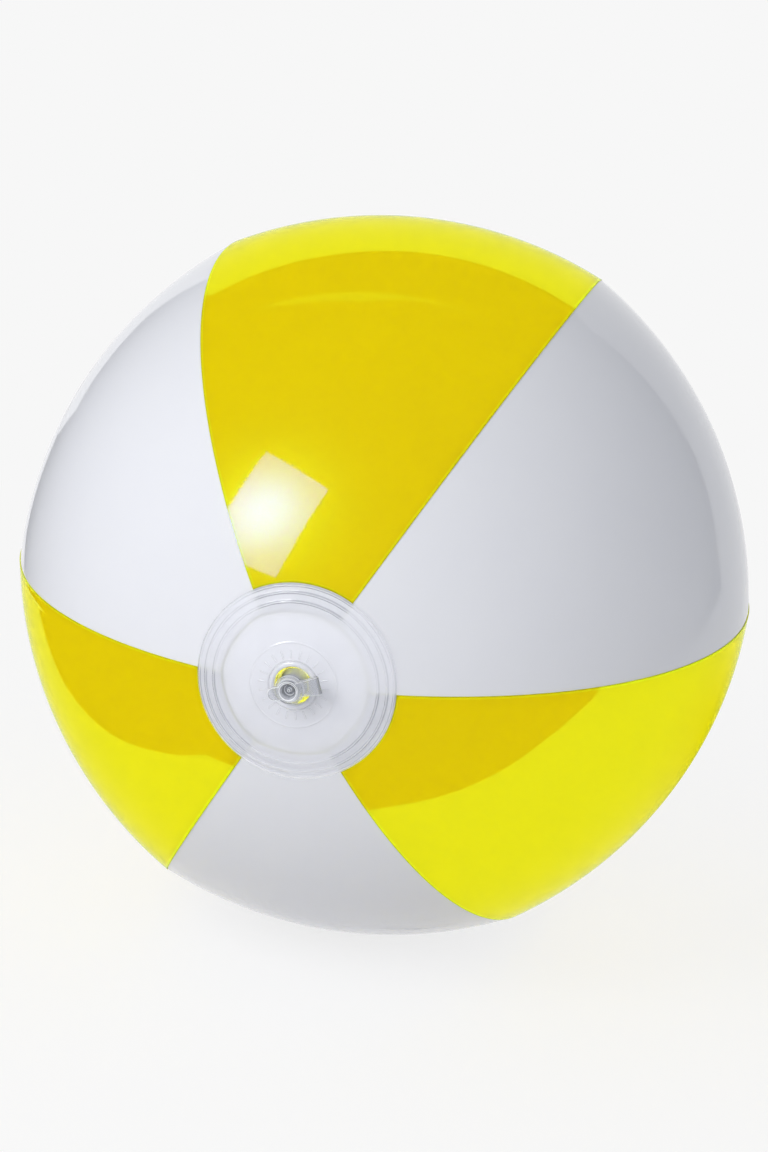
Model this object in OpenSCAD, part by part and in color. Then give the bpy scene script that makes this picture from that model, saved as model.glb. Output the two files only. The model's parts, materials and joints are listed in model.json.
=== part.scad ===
// Blown-up beach ball: six welded film panels, a round patch over the tips at each end,
// and a push-in valve with a check flap and a stopper on a strap.
// The ball touches the floor at the origin, +Z is up, and the valve faces -Y.

/* [Ball] */
// Diameter of the blown-up ball over the middles of two opposite panels
ball_d = 280; // [240:1:360]
// How much further the ends are from the centre than the panel middles are
pole_rise = 7; // [0:0.5:12]
// How far the seams stand out past the panel middles at the equator
seam_ridge = 2.5; // [1.5:0.1:4]
// Thickness of the panel film
film_t = 0.25; // [0.15:0.01:0.5]
// Width of the white edge that is welded under a yellow edge
lap_w = 3; // [1.5:0.5:6]
// How far that white edge steps down under the yellow one
lap_step = 0.1; // [0.08:0.01:0.14]
// How far inside the seam the step begins
lap_root = 0.4; // [0.3:0.05:0.5]
// Gap between layers that are welded together on the real ball
weld_gap = 0.03; // [0.01:0.01:0.08]

/* [End patches] */
// Diameter of the round patch at each end
patch_d = 74; // [70:1:90]
// Thickness of the patch film
patch_t = 0.3; // [0.2:0.05:0.6]
// Diameter of the opening that the panel tips leave under the patch
tip_d = 54; // [46:1:58]
// Diameter of the inner weld ring
inner_ring_d = 61; // [59:0.5:63]
// Diameter of the outer weld ring
outer_ring_d = 67.5; // [65:0.5:69]
// Least width of patch film outside the outer weld ring
ring_margin = 2.5; // [1.5:0.1:3]
// Radius of the round ridge on a weld ring
ring_ridge_r = 0.45; // [0.35:0.05:0.8]
// Thickness of the white backing film inside each end
backing_t = 0.25; // [0.15:0.05:0.5]

/* [Valve foot] */
// Diameter of the moulded foot under the patch
foot_d = 32; // [24:1:40]
// Thickness of the foot
foot_t = 1.4; // [1.2:0.1:2]
// Diameter of the hole that the stem sinks into
hole_d = 14; // [13.6:0.1:16]
// Diameter over the collar round the hole
collar_d = 18.4; // [16.8:0.1:20]
// How far the collar stands above the patch
collar_h = 0.6; // [0.4:0.1:1.2]
// Gap between the collar and the hole in the patch
collar_gap = 0.1; // [0.05:0.05:0.3]

/* [Boot and stem] */
// Thickness of the folding sleeve between the foot and the stem
boot_t = 0.6; // [0.4:0.1:0.9]
// Height of the sleeve's straight rim inside the foot
boot_rim_h = 0.9; // [0.6:0.1:1.2]
// How far the stem's mouth stands above the patch
stem_rise = 5.9; // [5.5:0.1:8]
// How far the stem's root lies below the patch
root_depth = 5.6; // [4.5:0.1:7]
// Outside diameter of the stem
stem_d = 9; // [8.6:0.1:10]
// Diameter of the stem's root
root_d = 11.2; // [10.8:0.1:12.2]
// Height of the root's straight edge
root_h = 1.4; // [1:0.1:2]
// Height of the cone from the root to the stem
root_cone_h = 2.6; // [1:0.1:3]
// Bore of the throat that takes a pump's nozzle
throat_d = 5; // [4:0.1:5.4]
// Bore of the socket that takes the stopper's plug
socket_d = 6.4; // [6:0.1:6.8]
// Depth of the socket below the mouth
socket_depth = 3.2; // [3:0.1:3.6]
// Width of the bevel round the mouth
mouth_bevel = 0.4; // [0.2:0.1:0.6]

/* [Stopper] */
// Length of the plug below the head
plug_len = 2.8; // [2.2:0.1:2.9]
// Gap between the plug's top and the socket
plug_gap = 0.1; // [0.05:0.01:0.2]
// How much the plug's radius narrows towards its end
plug_taper = 0.4; // [0.3:0.05:0.6]
// Gap between the head and the mouth
seat_gap = 0.1; // [0.05:0.01:0.2]
// Diameter of the head
head_d = 7.8; // [7.4:0.1:8.4]
// Thickness of the head
head_t = 1.8; // [1.4:0.1:2.4]
// Diameter of the hollow in the head
hollow_d = 4.2; // [3:0.1:4.6]
// Depth of the hollow in the head
hollow_depth = 3.2; // [2:0.1:3.6]
// Diameter of the nub in the hollow
nub_d = 1.2; // [0.8:0.1:1.6]
// Height of the nub
nub_h = 1.6; // [0.8:0.1:2]
// Width of the pull tab
tab_w = 5.2; // [4:0.1:5.6]
// Thickness of the pull tab
tab_t = 1.1; // [0.8:0.1:1.3]
// Distance from the head's middle to the tab's end
tab_reach = 7.8; // [7:0.1:9]

/* [Strap] */
// Width of the strap
strap_w = 5; // [4:0.1:6]
// Thickness of the strap
strap_t = 0.9; // [0.6:0.1:1.1]
// Radius of the strap's bend at the middle of its thickness
strap_bend_r = 1.15; // [1:0.05:1.4]
// Distance from the stem's middle to the middle of the bend
strap_reach = 10.2; // [9:0.1:12]
// Width of the band that holds the strap on the stem
band_w = 0.9; // [0.6:0.1:1.2]
// Height of the band
band_h = 1.5; // [1.2:0.1:2]
// Gap between the strap and the stem and head that it is moulded to
strap_gap = 0.05; // [0.03:0.01:0.1]
// Turn of the strap about the valve, up from level
strap_turn = 18; // [0:1:60]

/* [Check flap] */
// Diameter of the flap
flap_d = 7; // [6.6:0.1:7.6]
// Thickness of the flap
flap_t = 0.5; // [0.3:0.1:0.6]
// Gap between the flap and the stem's inner end
flap_gap = 0.1; // [0.05:0.01:0.2]
// Diameter of the bead that the flap hinges on
bead_d = 0.8; // [0.7:0.05:1]
// Length of the bead
bead_len = 4; // [3:0.1:5]
// Distance from the stem's middle to the bead
bead_reach = 4.4; // [4.2:0.1:4.8]

/* [Hidden] */
$fn = 144;
panel_count = 6;
panel_turn = 360 / panel_count;
half_turn = panel_turn / 2;

ball_r = ball_d / 2;
patch_r = max(patch_d / 2, outer_ring_d / 2 + ring_margin);
tip_r = tip_d / 2;
reach = 2 * ball_r;

// Turn of a film past each seam before it is cut there
spare_turn = 4;

// A panel is an arc turned about an axis that lies behind the ball's own axis, so it is
// flatter from seam to seam than a round ball, and the seams stand out as soft ridges.
seam_r = ball_r + seam_ridge;
panel_shift = (seam_r * seam_r - ball_r * ball_r) / (2 * (ball_r - seam_r * cos(half_turn)));
pole_h = ball_r + pole_rise;
arc_r = (pole_h * pole_h + ball_r * ball_r) / (2 * ball_r);
arc_x = ball_r - arc_r;

// Yellow panels lie on the outer surface, and white ones one film further in
white_out = -film_t - weld_gap;
white_in = white_out - film_t;

// Height of a panel surface above the equator, at a distance from the axis and a turn from
// the panel's middle
function across(s, turn) =
    sqrt(s * s + 2 * panel_shift * s * cos(turn) + panel_shift * panel_shift) - panel_shift;
function skin_z(s, turn, lift) = sqrt(pow(arc_r + lift, 2) - pow(across(s, turn) - arc_x, 2));

// Centre height of the ball surface, centred on the axis, that passes two rings
function cap_centre(r1, z1, r2, z2) =
    (r1 * r1 + z1 * z1 - r2 * r2 - z2 * z2) / (2 * (z1 - z2));
function cap_radius(r1, z1, centre) = sqrt(r1 * r1 + pow(z1 - centre, 2));

// The patch rests on the seams, from the panel tips out to its rim
patch_tip_z = skin_z(tip_r, half_turn, 0) + weld_gap;
patch_rim_z = skin_z(patch_r, half_turn, 0) + weld_gap;
patch_c = cap_centre(tip_r, patch_tip_z, patch_r, patch_rim_z);
patch_in_r = cap_radius(tip_r, patch_tip_z, patch_c);
patch_out_r = patch_in_r + patch_t;
valve_z = patch_c + patch_out_r;

// The backing passes under the panels at its rim and under the foot at the pole
backing_top_z = patch_c + patch_in_r - foot_t - 2 * weld_gap;
backing_rim_z = skin_z(patch_r, 0, white_in) - weld_gap;
backing_c = cap_centre(0, backing_top_z, patch_r, backing_rim_z);
backing_out_r = backing_top_z - backing_c;

// Heights along the valve's axis
foot_low_z = backing_c + sqrt(pow(backing_out_r, 2) - pow(hole_d / 2, 2)) + weld_gap;
collar_top_z = valve_z + collar_h;
collar_wall = (collar_d - hole_d) / 2;
root_z = valve_z - root_depth;
root_top_z = root_z + root_h;
mouth_z = valve_z + stem_rise;
socket_z = mouth_z - socket_depth;
head_z = mouth_z + seat_gap;
head_top_z = head_z + head_t;
plug_top_r = socket_d / 2 - plug_gap;
plug_end_r = plug_top_r - plug_taper;
strap_upper_z = head_z + head_t / 2;
strap_bend_z = strap_upper_z - strap_bend_r;
strap_lower_z = strap_bend_z - strap_bend_r;
flap_top_z = root_z - flap_gap;
bead_z = flap_top_z - bead_d / 2;

// Height of the ball's centre above the floor, where the bottom white panel touches it
rest_h = ball_r + white_out;

yellow = [0.90, 0.82, 0.08];
white = [0.90, 0.91, 0.94];
clear = [0.86, 0.88, 0.90];

// Turns a piece that is drawn with the valve along +Z, about the ball's centre, into place
module in_place() {
    translate([0, 0, rest_h])
        rotate([90, 0, 0])
            children();
}

// Film of one panel whose middle is at turn 0, between two distances from the outer surface
module skin(lift_out, lift_in) {
    translate([-panel_shift, 0, 0])
        rotate_extrude(angle = panel_turn + 2 * spare_turn, start = -half_turn - spare_turn)
            intersection() {
                difference() {
                    translate([panel_shift + arc_x, 0])
                        circle(r = arc_r + lift_out);
                    translate([panel_shift + arc_x, 0])
                        circle(r = arc_r + lift_in);
                }
                translate([panel_shift / 2, -reach])
                    square([reach, 2 * reach]);
            }
}

// Everything between the two seams of a panel whose middle is at turn 0
module between_seams() {
    half_w = reach * tan(half_turn);
    translate([0, 0, -reach])
        linear_extrude(2 * reach)
            polygon([[0, 0], [reach, -half_w], [reach, half_w]]);
}

// Round openings that the panel tips leave at both ends
module tip_openings() {
    translate([0, 0, -reach])
        cylinder(r = tip_r, h = 2 * reach);
}

module yellow_panel(turn) {
    color(yellow)
        in_place()
            difference() {
                rotate([0, 0, turn])
                    intersection() {
                        skin(0, -film_t);
                        between_seams();
                    }
                tip_openings();
            }
}

// A white panel carries on under its two yellow neighbours as the welded laps
module white_panel(turn) {
    color(white)
        in_place()
            difference() {
                union() {
                    rotate([0, 0, turn])
                        intersection() {
                            skin(white_out, white_in);
                            between_seams();
                        }
                    for (side = [-1, 1])
                        intersection() {
                            rotate([0, 0, turn + side * panel_turn])
                                skin(white_out - lap_step, white_in - lap_step);
                            rotate([0, 0, turn + side * half_turn])
                                translate([0, side > 0 ? -lap_root : -lap_w, -reach])
                                    cube([reach, lap_root + lap_w, 2 * reach]);
                        }
                }
                tip_openings();
            }
}

module panel_yellow_top() { yellow_panel(90); }
module panel_white_left() { white_panel(150); }
module panel_yellow_left() { yellow_panel(210); }
module panel_white_bottom() { white_panel(270); }
module panel_yellow_right() { yellow_panel(330); }
module panel_white_right() { white_panel(30); }

// Ring of the upper half plane, from one distance from the axis to another
module half_strip(from_r, to_r) {
    translate([from_r, 0])
        square([to_r - from_r, reach]);
}

function patch_out_z(r) = patch_c + sqrt(patch_out_r * patch_out_r - r * r);

// Clear patch with its weld ridges, over the tips at the +Z end
module patch(open_r) {
    ridge_radii = [inner_ring_d / 2, outer_ring_d / 2, patch_r - ring_ridge_r];
    rotate_extrude()
        difference() {
            union() {
                intersection() {
                    translate([0, patch_c])
                        circle(r = patch_out_r);
                    half_strip(open_r, patch_r);
                }
                for (r = ridge_radii)
                    translate([r, patch_out_z(r)])
                        circle(r = ring_ridge_r);
            }
            translate([0, patch_c])
                circle(r = patch_in_r);
        }
}

// White backing inside the tips at the +Z end
module backing(open_r) {
    rotate_extrude()
        intersection() {
            difference() {
                translate([0, backing_c])
                    circle(r = backing_out_r);
                translate([0, backing_c])
                    circle(r = backing_out_r - backing_t);
            }
            half_strip(open_r, patch_r);
        }
}

module valve_end_patch() {
    color(clear)
        in_place()
            patch(collar_d / 2 + collar_gap);
}

module valve_end_backing() {
    color(white)
        in_place()
            backing(hole_d / 2);
}

module far_end_patch() {
    color(clear)
        in_place()
            mirror([0, 0, 1])
                patch(0);
}

module far_end_backing() {
    color(white)
        in_place()
            mirror([0, 0, 1])
                backing(0);
}

// Foot between the patch and the backing, with the collar that comes up through the patch
module valve_flange() {
    color(clear)
        in_place()
            rotate_extrude()
                difference() {
                    union() {
                        intersection() {
                            translate([0, patch_c])
                                circle(r = patch_in_r - weld_gap);
                            half_strip(hole_d / 2, foot_d / 2);
                        }
                        translate([hole_d / 2, foot_low_z])
                            square([collar_wall, collar_top_z - foot_low_z - collar_wall / 2]);
                        translate([(hole_d + collar_wall) / 2, collar_top_z - collar_wall / 2])
                            circle(d = collar_wall);
                    }
                    translate([0, backing_c])
                        circle(r = backing_out_r + weld_gap);
                }
}

// Sleeve that folds as the stem is pushed in or drawn out
module valve_boot() {
    top_r = hole_d / 2 - weld_gap;
    low_r = root_d / 2 + weld_gap;
    rim_z = foot_low_z + boot_rim_h;
    color(clear)
        in_place()
            rotate_extrude()
                polygon([
                    [top_r, rim_z], [top_r, foot_low_z],
                    [low_r + boot_t, root_z], [low_r, root_z], [low_r, root_top_z],
                    [top_r - boot_t, foot_low_z + boot_rim_h / 2], [top_r - boot_t, rim_z]
                ]);
}

module valve_stem() {
    color(clear)
        in_place()
            rotate_extrude()
                polygon([
                    [throat_d / 2, root_z], [root_d / 2, root_z], [root_d / 2, root_top_z],
                    [stem_d / 2, root_top_z + root_cone_h],
                    [stem_d / 2, mouth_z - mouth_bevel],
                    [stem_d / 2 - mouth_bevel, mouth_z], [socket_d / 2, mouth_z],
                    [socket_d / 2, socket_z], [throat_d / 2, socket_z]
                ]);
}

// Flap under the stem's inner end, on a round bead at one side
module check_flap() {
    color(clear)
        in_place()
            rotate([0, 0, strap_turn])
                union() {
                    translate([0, 0, flap_top_z - flap_t])
                        cylinder(d = flap_d, h = flap_t);
                    translate([-bead_reach, -bead_len / 2, flap_top_z - flap_t])
                        cube([bead_reach, bead_len, flap_t]);
                    translate([-bead_reach, bead_len / 2, bead_z])
                        rotate([90, 0, 0])
                            cylinder(d = bead_d, h = bead_len);
                }
}

// Plug with its hollow head and the tab to pull it by
module stopper() {
    color(clear)
        in_place()
            rotate([0, 0, strap_turn])
                union() {
                    difference() {
                        union() {
                            translate([0, 0, mouth_z - plug_len])
                                cylinder(r1 = plug_end_r, r2 = plug_top_r, h = plug_len + seat_gap);
                            translate([0, 0, head_z])
                                cylinder(d = head_d, h = head_t);
                            translate([-tab_reach + tab_w / 2, -tab_w / 2, head_top_z - tab_t])
                                cube([tab_reach - tab_w / 2, tab_w, tab_t]);
                            translate([-tab_reach + tab_w / 2, 0, head_top_z - tab_t])
                                cylinder(d = tab_w, h = tab_t);
                        }
                        translate([0, 0, head_top_z - hollow_depth])
                            cylinder(d = hollow_d, h = hollow_depth + head_t);
                    }
                    translate([0, 0, head_top_z - hollow_depth])
                        cylinder(d = nub_d, h = nub_h);
                }
}

// Strap from a band on the stem, out and round its bend, and back to the head
module stopper_strap() {
    color(clear)
        in_place()
            rotate([0, 0, strap_turn])
                difference() {
                    union() {
                        translate([0, strap_w / 2, 0])
                            rotate([90, 0, 0])
                                linear_extrude(strap_w)
                                    strap_outline();
                        translate([0, 0, strap_lower_z - band_h / 2])
                            cylinder(d = stem_d + 2 * (strap_gap + band_w), h = band_h);
                    }
                    translate([0, 0, strap_lower_z - band_h])
                        cylinder(d = stem_d + 2 * strap_gap, h = band_h + strap_bend_r);
                    translate([0, 0, strap_bend_z])
                        cylinder(d = head_d + 2 * strap_gap, h = strap_bend_r + head_t);
                }
}

// Side view of the strap: the upper and lower runs and the half-round bend between them
module strap_outline() {
    for (z = [strap_lower_z, strap_upper_z])
        translate([0, z - strap_t / 2])
            square([strap_reach, strap_t]);
    intersection() {
        translate([strap_reach, strap_bend_z])
            difference() {
                circle(r = strap_bend_r + strap_t / 2);
                circle(r = strap_bend_r - strap_t / 2);
            }
        translate([strap_reach, 0])
            square([reach, reach]);
    }
}

panel_yellow_top();
panel_white_left();
panel_yellow_left();
panel_white_bottom();
panel_yellow_right();
panel_white_right();
valve_end_patch();
valve_end_backing();
far_end_patch();
far_end_backing();
valve_flange();
valve_boot();
valve_stem();
check_flap();
stopper();
stopper_strap();
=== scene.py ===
# %% [markdown]
# # A blown-up beach ball
# The ball is six long panels of soft PVC film, three yellow and three white, welded along their
# edges. A clear round patch covers the panel tips at each end, and one patch carries the valve.
# The CAD model gives every piece its place, so this script only adds the looks around that frame.

# %% Load the frame
import json
import math

import bmesh
import bpy
from mathutils import Matrix, Vector, noise


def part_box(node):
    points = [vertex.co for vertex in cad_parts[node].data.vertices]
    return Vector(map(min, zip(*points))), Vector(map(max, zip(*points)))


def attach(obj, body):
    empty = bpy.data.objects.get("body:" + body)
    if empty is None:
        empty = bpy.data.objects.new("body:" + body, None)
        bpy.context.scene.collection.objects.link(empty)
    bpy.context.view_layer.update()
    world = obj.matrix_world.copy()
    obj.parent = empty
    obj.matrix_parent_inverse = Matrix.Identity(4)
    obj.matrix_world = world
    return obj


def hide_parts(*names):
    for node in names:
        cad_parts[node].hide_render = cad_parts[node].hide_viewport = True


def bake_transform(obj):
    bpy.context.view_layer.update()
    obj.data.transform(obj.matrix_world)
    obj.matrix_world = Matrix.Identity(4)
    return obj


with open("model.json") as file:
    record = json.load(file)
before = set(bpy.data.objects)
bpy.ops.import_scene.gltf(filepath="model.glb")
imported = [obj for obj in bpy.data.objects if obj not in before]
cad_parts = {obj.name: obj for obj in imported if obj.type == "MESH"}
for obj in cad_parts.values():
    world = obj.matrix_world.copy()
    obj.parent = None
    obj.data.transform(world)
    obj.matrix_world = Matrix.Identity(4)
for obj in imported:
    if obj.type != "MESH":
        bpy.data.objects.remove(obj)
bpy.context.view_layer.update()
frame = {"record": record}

MM = 0.001

# %% [markdown]
# ## Sizes
# Three sizes come from the frame: the height of the ball's centre, the radius over a panel's middle
# and the radius over a seam. The rest are the film's own sizes, in millimetres.
# A panel isn't part of a round ball. It is an arc turned about an axis that lies behind the ball's
# own axis, so it is flatter from seam to seam, and the seams stand out as soft ridges.

# %% Sizes of the ball
mounts = {mount["name"]: mount for mount in frame["record"]["mounts"]}
centre = Vector((0, 0, mounts["inflation_bore"]["pos_m"][2]))
top_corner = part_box("panel_yellow_top")[1]
SEAM_DEG = 30   # degrees round the ball from a panel's middle to its seam
HALF_TURN = math.radians(SEAM_DEG)
ball_r = top_corner.z - centre.z
seam_r = top_corner.x / math.sin(HALF_TURN)
POLE_RISE = 7 * MM
TIP_R = 27 * MM
FILM_T = 0.25 * MM
WELD_GAP = 0.03 * MM
LAP_W = 3 * MM
print(f"panel middle {ball_r / MM:.1f} mm, seam {seam_r / MM:.1f} mm from the ball's axis")

# %% Arc of a panel
panel_shift = (seam_r**2 - ball_r**2) / (2 * (ball_r - seam_r * math.cos(HALF_TURN)))
pole_h = ball_r + POLE_RISE
arc_r = (pole_h**2 + ball_r**2) / (2 * ball_r)
arc_x = ball_r - arc_r

# Pieces are drawn about the ball's centre with the valve along +Z, and then turned into place
into_place = Matrix.Translation(centre) @ Matrix.Rotation(math.radians(90), 4, "X")
print(f"a panel's arc: radius {arc_r / MM:.2f} mm, {panel_shift / MM:.2f} mm behind the axis")

# %% [markdown]
# ## Helpers for pieces and materials
# Every piece ends the same way: its doubles are merged, its normals point outwards, its place goes
# into its mesh, and it takes the finish that it is given.
# Colours are written as sRGB hex values, and one function turns them to linear light.
# The node helper adds one shader node, sets it up and links it, so a material reads as a list.
# A socket goes by its name, or by its number where names repeat. A Map Range takes its value at 0,
# the range that it comes from at 1 and 2, and the range that it goes to at 3 and 4. A colour Mix
# has its two colours at 6 and 7 and its result at 2.

# %% Helpers for pieces
SMALLEST = 0.002 * MM


def put_in_scene(name, data):
    """Makes an object of a mesh, a lamp or a camera and links it to the scene."""
    thing = bpy.data.objects.new(name, data)
    bpy.context.scene.collection.objects.link(thing)
    return thing


def make_piece(name, bm, material):
    """Turns a finished bmesh into an object at the origin, smooth shaded."""
    bmesh.ops.remove_doubles(bm, verts=bm.verts[:], dist=SMALLEST)
    bmesh.ops.recalc_face_normals(bm, faces=bm.faces[:])
    bmesh.ops.transform(bm, matrix=into_place, verts=bm.verts[:])
    for face in bm.faces:
        face.smooth = True
    mesh = bpy.data.meshes.new(name)
    bm.to_mesh(mesh)
    bm.free()
    mesh.materials.append(material)
    piece = put_in_scene(name, mesh)
    return piece


def thicken(piece, thickness):
    """Gives a sheet of film its thickness, inwards from its outer face."""
    wall = piece.modifiers.new("film_thickness", "SOLIDIFY")
    wall.thickness = thickness
    wall.offset = -1
    return wall


print(f"points closer than {SMALLEST / MM:.3f} mm are merged")

# %% Helpers for materials
def linear(hex_colour):
    """Linear RGBA of an sRGB hex colour."""
    parts = [int(hex_colour[i:i + 2], 16) / 255 for i in (1, 3, 5)]
    return [p / 12.92 if p <= 0.04045 else ((p + 0.055) / 1.055) ** 2.4 for p in parts] + [1]


def add(tree, kind, links, out=0, **settings):
    """Adds a node and gives back one output. A link is a value, or an output to join to it."""
    node = tree.nodes.new(kind)
    for name, value in settings.items():
        setattr(node, name, value)
    for socket, value in links.items():
        if isinstance(value, bpy.types.NodeSocket):
            tree.links.new(value, node.inputs[socket])
        else:
            node.inputs[socket].default_value = value
    return node.outputs[out] if node.outputs else None


def new_material(name):
    """An empty node material and its tree."""
    material = bpy.data.materials.new(name)
    material.use_nodes = True
    material.node_tree.nodes.clear()
    return material, material.node_tree


print(f"mid grey is {linear('#808080')[0]:.3f} in linear light")

# %% [markdown]
# ## Calendered PVC film
# The panels are soft PVC rolled out between polished rollers, so both faces are as smooth as glass.
# White film is filled with pigment and looks like gloss paint. Yellow film is only dyed, and light
# goes through it: the daylight inside the ball makes it glow evenly, even on the shaded side. Its
# shine is tinted as well, because most of it comes back from the film's inner face.
# Three helpers serve all of these: the rollers' grain, the distance from the ball's axis, and how
# far a face is turned away from the eye, because film mirrors most where it is seen edge on.

# %% What the films have in common
patch_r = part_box("valve_end_patch")[1].x
GRAIN_MM = 1.6   # roller grain is finer than this, but would not show in the picture
GRAIN_H = 0.003 * MM
CLOUD_MM = 30
CLOUD_LOW, CLOUD_HIGH = 0.3, 0.7   # nearly all of a noise texture lies between these
LAP_FROM_MM, LAP_TO_MM = -0.3, -0.1   # past the seam, where a white panel turns into its lap


def film_grain(tree, depth=GRAIN_H):
    """Bump of the rollers' faint grain, and a slow cloud for small changes of tone."""
    place = add(tree, "ShaderNodeTexCoord", {}, out="Object")
    grain = add(tree, "ShaderNodeTexNoise", {
        "Vector": place, "Scale": 1 / (GRAIN_MM * MM), "Detail": 1,
    })
    cloud = add(tree, "ShaderNodeTexNoise", {
        "Vector": place, "Scale": 1 / (CLOUD_MM * MM), "Detail": 2,
    })
    normal = add(tree, "ShaderNodeBump", {"Height": grain, "Strength": 0.25, "Distance": depth})
    return normal, cloud


def pole_distance(tree):
    """Distance of a shaded point from the ball's own axis, in metres."""
    place = add(tree, "ShaderNodeTexCoord", {}, out="Object")
    about = add(tree, "ShaderNodeVectorMath", {0: place, 1: centre}, operation="SUBTRACT")
    flat = add(tree, "ShaderNodeVectorMath", {0: about, 1: (1, 0, 1)}, operation="MULTIPLY")
    return add(tree, "ShaderNodeVectorMath", {0: flat}, out="Value", operation="LENGTH")


def edge_on(tree, normal, power):
    """0 where a face is seen straight on and 1 where it is seen edge on, alike from both sides."""
    facing = add(tree, "ShaderNodeLayerWeight", {"Blend": 0.5, "Normal": normal}, out="Facing")
    return add(tree, "ShaderNodeMath", {0: facing, 1: power}, operation="POWER")


print(f"the patches are {2 * patch_r / MM:.1f} mm across")

# %% White film
WHITE_GRAIN_H = 0.004 * MM
WHITE_SHINE, WHITE_EDGE_SHINE = 0.004, 0.75


def white_film_material(name, darker, lighter):
    """Calendered film full of pigment: even, a little lavender, and mirror-like only edge on."""
    material, tree = new_material(name)
    normal, cloud = film_grain(tree, WHITE_GRAIN_H)
    tone = add(tree, "ShaderNodeMix", {
        "Factor": cloud, 6: linear(darker), 7: linear(lighter),
    }, out=2, data_type="RGBA")
    body = add(tree, "ShaderNodeBsdfPrincipled", {
        "Base Color": tone, "Roughness": 0.5, "Normal": normal, "Specular IOR Level": 0.0,
    })
    rough = add(tree, "ShaderNodeMapRange", {
        0: cloud, 1: CLOUD_LOW, 2: CLOUD_HIGH, 3: 0.05, 4: 0.09,
    })
    shine = add(tree, "ShaderNodeBsdfGlossy", {
        "Color": linear("#FFFFFF"), "Roughness": rough, "Normal": normal,
    })
    share = add(tree, "ShaderNodeMapRange", {
        0: edge_on(tree, normal, power=5), 3: WHITE_SHINE, 4: WHITE_EDGE_SHINE,
    })
    film = add(tree, "ShaderNodeMixShader", {0: share, 1: body, 2: shine})
    # The lap under the yellow edge is pressed thin, so light goes through it
    seam = add(tree, "ShaderNodeAttribute", {}, out="Fac", attribute_name="seam_mm")
    lap = add(tree, "ShaderNodeBsdfTransparent", {})
    open_film = add(tree, "ShaderNodeMapRange", {
        0: seam, 1: LAP_FROM_MM, 2: LAP_TO_MM,
    }, interpolation_type="SMOOTHSTEP")
    surface = add(tree, "ShaderNodeMixShader", {0: open_film, 1: lap, 2: film})
    add(tree, "ShaderNodeOutputMaterial", {"Surface": surface})
    return material


white_film = white_film_material("calendered_pvc_film_white", "#E8E9EE", "#EBECF0")
bare_film = white_film_material("calendered_pvc_film_undyed", "#EEEFF4", "#F1F2F6")
print("made", white_film.name, "and", bare_film.name)

# %% Yellow film: the glowing body
DYE_DARK, DYE_LIGHT = "#F2D714", "#F4D915"
DYE_ON_WHITE = "#F7EC20"
LAP_LINE_MM, LAP_LINE_FADE_MM = 1.0, 0.25
RIM_LINE_FROM, RIM_LINE_TO = 0.5 * MM, 0.9 * MM   # outside the patch's rim
GLOW_SHARE = 0.7
SHEEN_SHARE = 0.07


def yellow_body(tree, normal, cloud, radius):
    """Film with dye and no pigment: it glows with the light that comes through it."""
    dyed = add(tree, "ShaderNodeMix", {
        "Factor": cloud, 6: linear(DYE_DARK), 7: linear(DYE_LIGHT),
    }, out=2, data_type="RGBA")
    # Over the welded lap the white film behind makes the dye look lemon
    seam = add(tree, "ShaderNodeAttribute", {}, out="Fac", attribute_name="seam_mm")
    lap = add(tree, "ShaderNodeMapRange", {
        0: seam, 1: LAP_LINE_MM - LAP_LINE_FADE_MM, 2: LAP_LINE_MM + LAP_LINE_FADE_MM,
    }, interpolation_type="SMOOTHSTEP")
    rim = add(tree, "ShaderNodeMapRange", {
        0: radius, 1: patch_r + RIM_LINE_FROM, 2: patch_r + RIM_LINE_TO,
    }, interpolation_type="SMOOTHSTEP")
    plain = add(tree, "ShaderNodeMath", {0: lap, 1: rim}, operation="MULTIPLY")
    colour = add(tree, "ShaderNodeMix", {
        "Factor": plain, 6: linear(DYE_ON_WHITE), 7: dyed,
    }, out=2, data_type="RGBA")
    skin = add(tree, "ShaderNodeBsdfPrincipled", {
        "Base Color": colour, "Roughness": 0.3, "Normal": normal, "Specular IOR Level": 0.0,
    })
    glow = add(tree, "ShaderNodeBsdfTranslucent", {"Color": colour, "Normal": normal})
    body = add(tree, "ShaderNodeMixShader", {0: GLOW_SHARE, 1: skin, 2: glow})
    # A soft sheen in the dye's own colour lies under the shine
    sheen = add(tree, "ShaderNodeBsdfGlossy", {
        "Color": linear("#68BC2A"), "Roughness": 0.3, "Normal": normal,
    })
    return add(tree, "ShaderNodeMixShader", {0: SHEEN_SHARE, 1: body, 2: sheen})


print(f"{GLOW_SHARE:.0%} of the yellow film's own light comes through it")

# %% Yellow film: its shine
SLANT_FROM, SLANT_TO = 0.14, 0.21
SHINE_SHARE, OUTLINE_SHARE = 0.4, 0.85


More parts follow.
